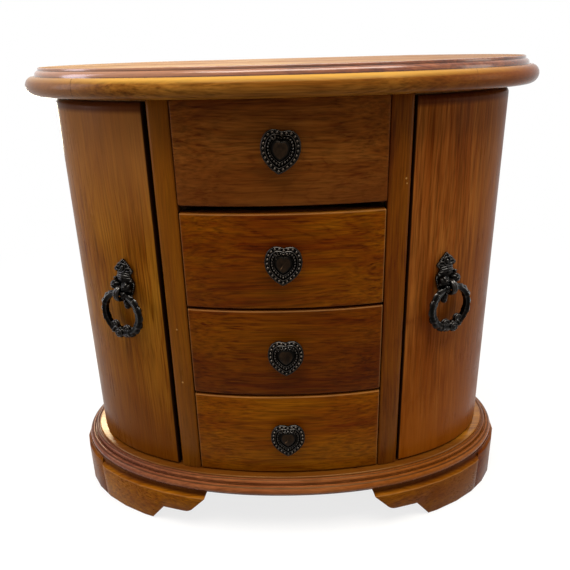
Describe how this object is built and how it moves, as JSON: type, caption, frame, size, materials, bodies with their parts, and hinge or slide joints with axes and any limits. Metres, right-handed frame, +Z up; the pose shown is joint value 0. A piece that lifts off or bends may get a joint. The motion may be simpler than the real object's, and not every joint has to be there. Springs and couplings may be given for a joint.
{
  "type": "jewelry armoire",
  "caption": "Oval wooden jewellery cabinet with a lift-up lid, bowed drawers with heart knobs, and curved side doors with drop-ring pulls.",
  "frame": {"origin": "on the floor under the centre of the bounding box at rest", "axes": "+X to the cabinet's right side seen from the front, +Y from the front to the flat back, +Z up"},
  "size_m": [0.334, 0.1828, 0.3133],
  "materials": {
    "honey_wood": "glossy honey-brown stain",
    "red_wood": "glossy red-brown stain",
    "pale_wood": "plain sanded",
    "velvet": "napped velvet",
    "old_brass": "dark antique bronze plating",
    "bright_brass": "satin brass",
    "mirror": "silvered glass"
  },
  "bodies": {
    "case": {"base_plate": "red_wood", "right_front_foot": "honey_wood", "left_front_foot": "honey_wood", "right_side_foot": "red_wood", "left_side_foot": "red_wood", "right_stile": "honey_wood", "left_stile": "honey_wood", "right_rear_stile": "honey_wood", "left_rear_stile": "honey_wood", "right_partition": "pale_wood", "left_partition": "pale_wood", "right_compartment_top": "pale_wood", "left_compartment_top": "pale_wood", "right_necklace_hooks": "bright_brass", "left_necklace_hooks": "bright_brass", "back_panel": "honey_wood", "false_front": "honey_wood", "false_front_knob": "old_brass", "lower_shelf": "pale_wood", "upper_shelf": "pale_wood", "tray_floor": "velvet", "tray_divider": "velvet", "ring_roll_pad": "velvet", "lid_hinge_fixed_leaf": "bright_brass", "right_lower_hinge_fixed_leaf": "bright_brass", "right_upper_hinge_fixed_leaf": "bright_brass", "left_lower_hinge_fixed_leaf": "bright_brass", "left_upper_hinge_fixed_leaf": "bright_brass"},
    "lid": {"lid_panel": "honey_wood", "lid_mirror": "mirror", "lid_hinge_moving_leaf": "bright_brass"},
    "upper_drawer": {"upper_drawer_front": "honey_wood", "upper_drawer_right_side": "pale_wood", "upper_drawer_left_side": "pale_wood", "upper_drawer_back": "pale_wood", "upper_drawer_floor": "velvet", "upper_drawer_knob": "old_brass"},
    "middle_drawer": {"middle_drawer_front": "honey_wood", "middle_drawer_right_side": "pale_wood", "middle_drawer_left_side": "pale_wood", "middle_drawer_back": "pale_wood", "middle_drawer_floor": "velvet", "middle_drawer_knob": "old_brass"},
    "lower_drawer": {"lower_drawer_front": "honey_wood", "lower_drawer_right_side": "pale_wood", "lower_drawer_left_side": "pale_wood", "lower_drawer_back": "pale_wood", "lower_drawer_floor": "velvet", "lower_drawer_knob": "old_brass"},
    "right_door": {"right_door_panel": "honey_wood", "right_pull_plate": "old_brass", "right_lower_hinge_moving_leaf": "bright_brass", "right_upper_hinge_moving_leaf": "bright_brass"},
    "left_door": {"left_door_panel": "honey_wood", "left_pull_plate": "old_brass", "left_lower_hinge_moving_leaf": "bright_brass", "left_upper_hinge_moving_leaf": "bright_brass"},
    "right_ring": {"right_pull_ring": "old_brass"},
    "left_ring": {"left_pull_ring": "old_brass"}
  },
  "joints": [
    {"name": "lid_hinge", "type": "hinge", "parent": "case", "child": "lid", "pos_m": [0, 0.08965, 0.29585], "axis": [-1, 0, 0], "range_deg": [0, 100]},
    {"name": "upper_drawer_slide", "type": "slide", "parent": "case", "child": "upper_drawer", "axis": [0, -1, 0], "range_m": [0, 0.105]},
    {"name": "middle_drawer_slide", "type": "slide", "parent": "case", "child": "middle_drawer", "axis": [0, -1, 0], "range_m": [0, 0.105]},
    {"name": "lower_drawer_slide", "type": "slide", "parent": "case", "child": "lower_drawer", "axis": [0, -1, 0], "range_m": [0, 0.105]},
    {"name": "right_door_hinge", "type": "hinge", "parent": "case", "child": "right_door", "pos_m": [0.08351, 0.08858, 0.17], "axis": [0, 0, 1], "range_deg": [0, 100]},
    {"name": "left_door_hinge", "type": "hinge", "parent": "case", "child": "left_door", "pos_m": [-0.08351, 0.08858, 0.17], "axis": [0, 0, -1], "range_deg": [0, 100]},
    {"name": "right_ring_pivot", "type": "hinge", "parent": "right_door", "child": "right_ring", "pos_m": [0.10632, -0.05769, 0.1765], "axis": [-0.8807, -0.4685, -0.0698], "range_deg": [0, 85]},
    {"name": "left_ring_pivot", "type": "hinge", "parent": "left_door", "child": "left_ring", "pos_m": [-0.10632, -0.05769, 0.1765], "axis": [-0.8807, 0.4685, 0.0698], "range_deg": [0, 85]}
  ]
}
